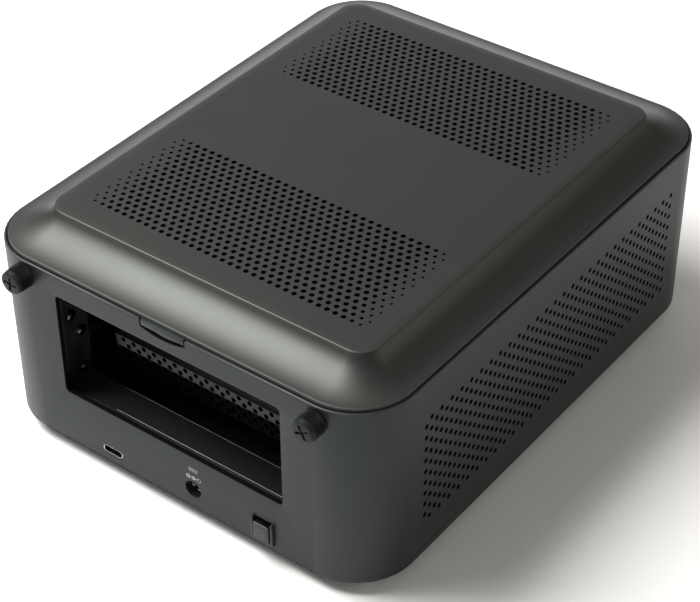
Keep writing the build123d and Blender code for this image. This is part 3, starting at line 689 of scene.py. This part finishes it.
def makeShell():
    bm = bmesh.new()
    bm.verts.layers.int.new("rim")
    halfX, halfY, radius, stepLow = shell["halfX"], shell["halfY"], shell["radius"], shell["stepLow"]
    coreX, coreY = halfX - radius, halfY - radius
    loop = roundedLoop(bm, halfX, halfY, radius, shell["bottom"], shell["cornerSteps"])
    for level in (stepLow, shell["ledgeTop"], shell["rim"]):
        loop = nextLevel(bm, loop, halfX, halfY, radius, level)
    for side in (-1, 1):
        bisectAll(bm, bm.faces[:], (side * coreX, 0, 0), (1, 0, 0))
        bisectAll(bm, bm.faces[:], (0, side * coreY, 0), (0, 1, 0))
    flatX, flatY = coreX - shell["flatMargin"], coreY - shell["flatMargin"]
    gone = facesAt(bm, lambda co: abs(co.x) < flatX and co.y < 0 or abs(co.y) < flatY and co.z < stepLow)
    bmesh.ops.delete(bm, geom=gone, context="FACES_ONLY")
    spare = [e for e in bm.edges
             if all(onRear(v.co) and v.co.z > stepLow - slack for v in e.verts) and e.calc_length() > coreX]
    bmesh.ops.delete(bm, geom=spare, context="EDGES")
    kinds = [ventColumn(shell["ventHoles"]), ventColumn(shell["ventHoles"] + 1)]
    heights = evenly(shell["ventColumns"], shell["ventStep"])
    for side in (-1, 1):
        wall = side * halfX
        place = Matrix(((0, 0, 1, wall), (0, 1, 0, 0), (1, 0, 0, shell["ventMiddle"]), (0, 0, 0, 1)))
        punchedField(bm, place, kinds, heights, shell["ventPeriod"], shell["ventStep"], shell["ventSides"])
        fillOpen(bm, lambda co: abs(co.x - wall) < tiny and co.z < stepLow + slack and abs(co.y) < coreY + tiny)
    addRearFace(bm)
    cutThumbHoles(bm)
    faceOutward(bm, Vector((0, -halfY - probeReach, shell["probeZ"])))
    thicken(bm, lambda z: shell["lip"] if z > shell["ledgeTop"] - slack else shell["wall"])
    # hole walls painted near black: painted shade
    shadeHoleWalls(bm, 1)
    cutFrom, cutTo = -halfY + shell["cutInset"], -halfY + shell["wall"] - shell["cutInset"]
    paintFaces(bm, 1, lambda f, spot: cutFrom < spot.y < cutTo and inWindow(spot))  # the window's cut edge is painted near black: painted shade
    roundEdges(bm, squareEdges(bm, lambda co: co.z > shell["rim"] - tiny), shell["rimBevel"], fineSegments)
    shineFrom = shell["rim"] - shell["rimBevel"]
    paintFaces(bm, 2, lambda f, spot: spot.z > shineFrom)  # the rounded rim shines like the cover
    roundEdges(bm, outerRim(bm, lambda co: co.z < shell["bottom"] + tiny), shell["footBevel"], fineSegments)
    roundEdges(bm, outerRim(bm, lambda co: onRear(co) and inWindow(co)), shell["windowBevel"], fineSegments)
    addLedge(bm)
    addBosses(bm)
    addPiece("shell", bm, "shellPaint holeDark lidPaint", "base", ("body_shell",))


makeShell()


# Thumbscrews: ribbed heads with a cross recess

thumb = {
    "x": 61.0, "z": 67.0, "rear": -104.0, "ribs": 38, "ribPoints": 4, "ribPower": 1.5, "crossLong": 2.8,
    "crossHalf": 0.46, "crossDeep": 0.6, "shank": 1.5, "shankIn": 1, "tip": -93.0, "sharp": 40,
    "levels": (  # height, radius, depth of the grooves
        (0.0, 4.35, 0.0), (0.3, 4.58, 0.0), (0.5, 4.57, 0.46), (4.6, 4.36, 0.46),
        (4.9, 4.30, 0.0), (5.8, 4.2, 0.0), (6.25, 4.0, 0.0), (6.5, 3.6, 0.0)),
    "turns": {"left": -5.0, "right": 27.5},
}


def makeThumbscrew(side, x):
    bm = bmesh.new()
    ring = bmesh.ops.create_circle(bm, segments=thumb["ribs"] * thumb["ribPoints"], radius=1.0)["verts"]
    edges = back = edgesOf(ring)
    for k, (level, radius, groove) in enumerate(thumb["levels"]):
        if k:
            ring, edges = extruded(bm, edges)
        for v in ring:
            angle = math.atan2(v.co.y, v.co.x)
            wave = (0.5 - 0.5 * math.cos(angle * thumb["ribs"])) ** thumb["ribPower"]
            reach = radius - groove * wave
            v.co = (reach * math.cos(angle), reach * math.sin(angle), level)
    bmesh.ops.contextual_create(bm, geom=back)
    face, long, half = thumb["levels"][-1][0], thumb["crossLong"], thumb["crossHalf"]
    corners = [(long, half), (half, half), (half, long), (-half, long), (-half, half), (-long, half),
               (-long, -half), (-half, -half), (-half, -long), (half, -long), (half, -half), (long, -half)]
    cross = outlineOf(bm, [(u, v, face) for u, v in corners])
    bmesh.ops.triangle_fill(bm, use_beauty=True, edges=edges + cross)
    sunk, floorEdges = extruded(bm, cross)
    for v in sunk:
        v.co.z -= thumb["crossDeep"]
    bmesh.ops.triangle_fill(bm, use_beauty=True, edges=floorEdges)
    turn = Matrix.Rotation(math.radians(thumb["turns"][side]), 4, "Z")
    place = Matrix(((1, 0, 0, x), (0, 0, -1, thumb["rear"]), (0, 1, 0, thumb["z"]), (0, 0, 0, 1)))
    bmesh.ops.transform(bm, matrix=place @ turn, verts=bm.verts[:])
    addRod(bm, (x, thumb["rear"] - thumb["shankIn"], thumb["z"]), (x, thumb["tip"], thumb["z"]), thumb["shank"])
    body = "thumbscrew_" + side
    addPiece(body + "_head", bm, "thumbBlack", body, (body,), thumb["sharp"])


makeThumbscrew("left", -thumb["x"])
makeThumbscrew("right", thumb["x"])


# Inner frame: black sheet with bright steel rods along the shelf and wing edges, laid where highlight lines show as
# painted highlight, and its three screws

bracket = {
    "bevel": 0.12, "hem": 0.12, "hemSides": 10, "half": 49.7, "shelf": 20.7, "near": -98.7, "far": -88.36,
    "wingTop": 60.8, "nearHighlightFrom": -29.0, "farHighlightFrom": -34.0, "wingHighlightFrom": 48.0,
    "screws": ((-91.7, 25.1), (-91.7, 41.1), (-95.9, 50.1)), "screwHead": 2.2, "screwRise": 1.4, "screwSides": 20,
    "screwRings": 12, "screwShank": 1.2, "screwReach": 2.4, "shankSides": 16,
}


def makeBracket():
    bm = solidCopy("bracket_plate")
    softenEdges(bm, bracket["bevel"])
    half, low, near, far = bracket["half"], bracket["shelf"], bracket["near"], bracket["far"]
    # Bright steel rods only along the stretches where edge highlights show: painted highlight
    highlightRuns = (
        ((bracket["farHighlightFrom"], far, low), (half, far, low)), ((bracket["nearHighlightFrom"], near, low), (half, near, low)),
        ((-half, far, bracket["wingHighlightFrom"]), (-half, far, bracket["wingTop"])))
    highlightRods = bmesh.new()
    for start, end in highlightRuns:
        addRod(highlightRods, start, end, bracket["hem"], bracket["hemSides"])
    mergeInto(bm, highlightRods, 1)
    addPiece("bracket", bm, "frameBlack bareSteel", "base", ("bracket_plate",))


def makeBracketScrews():
    bm = bmesh.new()
    head, rise, reach = bracket["screwHead"], bracket["screwRise"], bracket["screwReach"]
    for y, z in bracket["screws"]:
        spot = Vector((-bracket["half"], y, z))
        dome = bmesh.new()
        bmesh.ops.create_uvsphere(dome, u_segments=bracket["screwSides"], v_segments=bracket["screwRings"],
                                  radius=1.0, matrix=Matrix.Diagonal((rise, head, head, 1)))
        cutAway(dome, (0, 0, 0), (1, 0, 0))
        bmesh.ops.translate(dome, vec=spot, verts=dome.verts[:])
        mergeInto(bm, dome)
        start, end = spot + Vector((rise / 2, 0, 0)), spot - Vector((reach, 0, 0))
        addRod(bm, start, end, bracket["screwShank"], bracket["shankSides"])
    addPiece("bracket_screw_heads", bm, "darkZinc", "base", ("bracket_screws",))


makeBracket()
makeBracketScrews()


# Card deck with a perforated rear skirt

deck = {
    "bevel": 0.2, "rear": -69.0, "cut": -67.9, "sheet": 1.1, "halfX": 57.0, "low": 9.5, "top": 21.3,
    "hole": 2.08, "pitch": 4.82, "rowStep": 2.18, "firstRow": 20.1, "rows": 5, "columns": 23, "sides": 12,
    "litBandLow": 16.83, "litBandFacing": -0.5,
}


def deckRow(count):
    return [(place, deck["hole"] / 2) for place in evenly(count, deck["pitch"])]


def makeDeck():
    bm = solidCopy("card_deck")
    cutAway(bm, (0, deck["cut"], 0), (0, 1, 0))
    softenEdges(bm, deck["bevel"])
    skirt = bmesh.new()
    place = facingRear(0, deck["rear"], 0)
    kinds = [deckRow(deck["columns"]), deckRow(deck["columns"] - 1)]
    heights = [deck["firstRow"] - k * deck["rowStep"] for k in range(deck["rows"])]
    punchedField(skirt, place, kinds, heights, deck["pitch"], deck["rowStep"], deck["sides"])
    half, low, high = deck["halfX"], deck["low"], deck["top"]
    corners = ((-half, low, 0), (half, low, 0), (half, high, 0), (-half, high, 0))
    outlineOf(skirt, [place @ Vector(corner) for corner in corners])
    fillOpen(skirt)
    faceOutward(skirt, Vector((0, deck["rear"] - probeReach, (low + high) / 2)))
    thicken(skirt, lambda z: deck["sheet"])
    skirt.normal_update()
    # The upper rows facing the window are painted pale zinc: painted light for the lit band above a shadow line
    paintFaces(skirt, 1, lambda f, spot: f.normal.y < deck["litBandFacing"] and spot.z > deck["litBandLow"])
    # hole walls painted near black: painted shade
    shadeHoleWalls(skirt, 2)
    mergeInto(bm, skirt)
    addPiece("deck", bm, "innerSteel dullZinc holeDark", "base", ("card_deck",))


makeDeck()


# Data socket: a drawn steel shell; past a short bright band its inner walls and back are painted black as painted
# shade

usb = {
    "x": -27.6, "z": 5.93, "front": -103.95, "back": -94.6, "outer": 1.63, "inner": 1.26, "stretch": 2.84,
    "sides": 32, "lip": 0.13, "bright": 0.7, "sheet": 0.35,
}


def makeUsb():
    bm = bmesh.new()
    front, back, lip, outer, inner = (usb[key] for key in ("front", "back", "lip", "outer", "inner"))
    levels = ((outer, back), (outer, front + lip), (outer - lip, front), (inner + lip, front), (inner, front + lip),
              (inner, front + usb["bright"]), (inner, back - usb["sheet"]))
    rings = []
    for radius, y in levels:
        ring = holeRing(bm, facingRear(usb["x"], y, usb["z"]), radius, usb["stretch"], usb["sides"])
        rings.append(edgesOf(ring))
    walls = [bmesh.ops.bridge_loops(bm, edges=first + second)["faces"] for first, second in zip(rings, rings[1:])]
    bmesh.ops.contextual_create(bm, geom=rings[0])
    # The deeper inner walls and the back take black plastic: painted shade inside the steel shell
    dark = walls[-1] + bmesh.ops.contextual_create(bm, geom=rings[-1])["faces"]
    for f in dark:
        f.material_index = 1
    addPiece("usb_shell", bm, "socketSteel mouldedBlack", "base", ("usb_c_shell",))


makeUsb()


# Power socket: moulded body, two spring leaves that show in its bore, and the print above it

jack = {
    "bevel": 0.2, "x": 8.7, "z": 8.9, "front": -102.3, "back": -92.6, "leafHalf": 0.15, "leafBevel": 0.06,
    "leaves": ((-1.37, 0.0, 0.65, -45.0), (1.0, -1.15, 0.6, 0.0)),  # across, up, half length, turn
}
powerMark = {
    "rear": -104.0, "rise": 0.02, "sink": 0.1, "x": 9.2, "line": 0.32,
    "currentZ": 17.7, "currentHalf": 1.9, "currentGap": 0.45, "dashes": (-1.9, -0.55, 0.8), "dash": 1.1,
    "poleZ": 14.2, "poleX": 2.3, "pole": 0.9, "signHalf": 0.45, "plug": 0.8, "dot": 0.35, "dotSides": 16,
}


def makeJackLeaves():
    bm = bmesh.new()
    middle, reach = (jack["front"] + jack["back"]) / 2, jack["back"] - jack["front"]
    for across, up, half, turn in jack["leaves"]:
        place = Matrix.Translation((jack["x"] + across, middle, jack["z"] + up))
        place = place @ Matrix.Rotation(math.radians(-turn), 4, "Y")
        size = Matrix.Diagonal((2 * half, reach, 2 * jack["leafHalf"], 1))
        verts = bmesh.ops.create_cube(bm, size=1.0, matrix=place @ size)["verts"]
        roundEdges(bm, edgesOf(verts), jack["leafBevel"], 1)
    addPiece("jack_leaves", bm, "socketSteel", "base")


def makePowerMark():
    # Plain signs for direct current and for the plug's poles
    bm = bmesh.new()
    x, high, low, line = (powerMark[key] for key in ("x", "currentZ", "poleZ", "line"))
    front, back = powerMark["rear"] - powerMark["rise"], powerMark["rear"] + powerMark["sink"]

    def bar(left, right, z, half=line / 2):
        addBlock(bm, (x + left, front, z - half), (x + right, back, z + half))

    def ring(across, radius):
        addTube(bm, (x + across, front, low), (x + across, back, low), radius, radius - line)

    half, gap, sign = powerMark["currentHalf"], powerMark["currentGap"], powerMark["signHalf"]
    bar(-half, half, high + gap)
    for left in powerMark["dashes"]:
        bar(left, left + powerMark["dash"], high - gap)
    for side in (-1, 1):
        middle = side * powerMark["poleX"]
        ring(middle, powerMark["pole"])
        bar(middle - sign, middle + sign, low)
        ends = sorted((middle - side * powerMark["pole"], side * powerMark["plug"]))
        bar(ends[0], ends[1], low)
    bar(powerMark["poleX"] - line / 2, powerMark["poleX"] + line / 2, low, sign)
    ring(0, powerMark["plug"])
    addRod(bm, (x, front, low), (x, back, low), powerMark["dot"], powerMark["dotSides"])
    addPiece("power_mark", bm, "printWhite", "base")


bevelledCopy("jack", "dc_jack", "mouldedBlack", "base", jack["bevel"])
makeJackLeaves()
makePowerMark()


# Power button: a cap between two rails, with a plain ring mark

button = {
    "x": 38.7, "z": 7.8, "halfX": 3.2, "halfZ": 3.35, "front": -105.6, "back": -101.5, "round": 0.4,
    "frameBevel": 0.25, "stem": 1.5, "stemFront": -102.4, "plate": 0.05, "shineFacing": 0.2,
    "ring": 1.45, "ringWidth": 0.22, "ringRise": 0.02, "ringSink": 0.2, "ringSides": 40,
}


def makeButton():
    bm = bmesh.new()
    x, z, front, halfX, halfZ = (button[key] for key in ("x", "z", "front", "halfX", "halfZ"))
    addBlock(bm, (x - halfX, front, z - halfZ), (x + halfX, button["back"], z + halfZ), button["round"], fineSegments)
    stemEnd = toFrame.inverted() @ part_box("button_cap")[1]
    addRod(bm, (x, button["stemFront"], z), (x, stemEnd.y, z), button["stem"])
    bm.normal_update()
    # The cap's sides and back are painted near black as painted shade; only the face plate is grey, and its upper
    # edge shines
    plate = front + button["round"] + button["plate"]
    paintFaces(bm, 1, lambda f, spot: spot.y > plate)
    paintFaces(bm, 2, lambda f, spot: spot.y <= plate and f.normal.z > button["shineFacing"])
    addPiece("button_front", bm, "buttonGrey holeDark lidPaint", "button", ("button_cap",))
    bm = bmesh.new()
    ringFront, ringBack, ring = front - button["ringRise"], front + button["ringSink"], button["ring"]
    addTube(bm, (x, ringFront, z), (x, ringBack, z), ring, ring - button["ringWidth"], button["ringSides"])
    addPiece("button_mark", bm, "markFaint", "button")


bevelledCopy("button_surround", "button_frame", "mouldedBlack", "base", button["frameBevel"])
makeButton()


# Feet with a soft edge

foot = {"bevel": 0.8, "places": ("front_left", "front_right", "rear_left", "rear_right")}
for place in foot["places"]:
    bevelledCopy("foot_pad_" + place, "foot_" + place, "footRubber", "base", foot["bevel"],
                 fineSegments)


# Finishes of the solids that show as they are

slotPaint = {
    "shell_paint": "shellPaint", "cover_paint": "lidPaint", "screw_black": "thumbBlack", "bush_brass": "bushBrass",
    "inner_steel": "innerSteel", "screw_steel": "zincSteel", "board_mask": "boardMask", "socket_steel": "socketSteel",
    "socket_plastic": "mouldedBlack", "button_plastic": "buttonGrey", "chip_plastic": "chipEpoxy",
    "sink_aluminium": "sinkAluminium", "foot_rubber": "footRubber",
}
paintedBlack = {"capacitors": "chipEpoxy"}  # the capacitors take the black epoxy finish instead of their slot's aluminium
for part in frame["record"]["subparts"]:
    mesh = nodes[part["node"]].data
    mesh.materials.clear()
    mesh.materials.append(paints[paintedBlack.get(part["node"], slotPaint[part["material_slot"]])])
print("solids painted")


# Floor, light and camera

stage = {
    "floorSize": 8.0, "floorDark": (0.86, 0.86, 0.86), "floorLight": (0.92, 0.92, 0.92), "floorCloud": 3.0,
    "floorSeen": 1.8, "world": 0.12, "worldTint": (1.0, 0.96, 0.90),
    "lights": {
        "key": {"spot": (-0.40, -0.21, 0.75), "aim": (0, -0.09, 0.08), "size": (0.52, 0.48), "power": 7.5,
                "tint": (1.0, 1.0, 0.98)},
        "back": {"spot": (-0.9, 1.2, 0.26), "aim": (0, 0.1, 0.06), "size": (1.4, 0.5), "power": 4.5,
                 "tint": (1.0, 1.0, 1.0)},
        "front": {"spot": (0.30, -1.2, 0.287), "aim": (0, -0.07, 0.02), "size": (0.2, 0.02), "power": 0.95,
                  "tint": (0.95, 0.98, 1.0)},
        "right": {"spot": (1.0, 0.5, 0.5), "aim": (0.1, 0, 0.0), "size": (0.8, 0.6), "power": 1.15,
                  "tint": (1.0, 0.93, 0.82)},
    },
    "lens": 102.117, "sensor": 36.0, "azimuth": 37.225, "elevation": 38.277, "roll": -0.348,
    "cameraSpot": (340.94, -454.46, 467.08),
}


def makeFloor():
    # White paper that the camera and mirrors see overexposed, as the photograph does, with the object's shadow on it
    material, sheet = newMaterial("floorPaper")
    colour = blend(sheet, noise(sheet, stage["floorCloud"]), stage["floorDark"], stage["floorLight"])
    rays = [sheet.node("LightPath", out=name) for name in ("Is Camera Ray", "Is Glossy Ray", "Is Transmission Ray")]
    gain = 1 + (rays[0] + rays[1] + rays[2]) * (stage["floorSeen"] - 1)
    bright = sheet.node("VectorMath", {"operation": "SCALE"}, {0: colour, "Scale": gain})
    shader = sheet.node("BsdfDiffuse", {}, {"Color": bright})
    sheet.node("OutputMaterial", {}, {"Surface": shader})
    bm = bmesh.new()
    bmesh.ops.create_grid(bm, x_segments=1, y_segments=1, size=stage["floorSize"] / 2)
    mesh = bpy.data.meshes.new("floor")
    bm.to_mesh(mesh)
    bm.free()
    mesh.materials.append(material)
    floor = bpy.data.objects.new("floor", mesh)
    scene.collection.objects.link(floor)


def makeLights():
    for name, look in stage["lights"].items():
        data = bpy.data.lights.new(name, "AREA")
        data.shape = "RECTANGLE"
        data.size, data.size_y = look["size"]
        data.color = look["tint"]
        data.energy = look["power"]
        lamp = bpy.data.objects.new(name, data)
        lamp.location = look["spot"]
        lamp.rotation_euler = (Vector(look["aim"]) - Vector(look["spot"])).to_track_quat("-Z", "Y").to_euler()
        scene.collection.objects.link(lamp)
    world = bpy.data.worlds.new("studio")
    world.use_nodes = True
    background = world.node_tree.nodes["Background"]
    background.inputs["Color"].default_value = (*stage["worldTint"], 1)
    background.inputs["Strength"].default_value = stage["world"]
    scene.world = world


def makeCamera():
    data = bpy.data.cameras.new("camera")
    data.sensor_width = stage["sensor"]
    data.lens = stage["lens"]
    camera = bpy.data.objects.new("camera", data)
    azimuth, elevation = math.radians(stage["azimuth"]), math.radians(stage["elevation"])
    level = math.cos(elevation)
    forward = Vector((-math.sin(azimuth) * level, math.cos(azimuth) * level, -math.sin(elevation)))
    roll = Matrix.Rotation(math.radians(stage["roll"]), 4, "Z")
    turn = forward.to_track_quat("-Z", "Y").to_matrix().to_4x4() @ roll
    camera.matrix_world = Matrix.Translation(toFrame @ Vector(stage["cameraSpot"])) @ turn
    scene.collection.objects.link(camera)
    scene.camera = camera


makeFloor()
makeLights()
makeCamera()
scene.view_settings.view_transform = "Standard"
print("stage set")
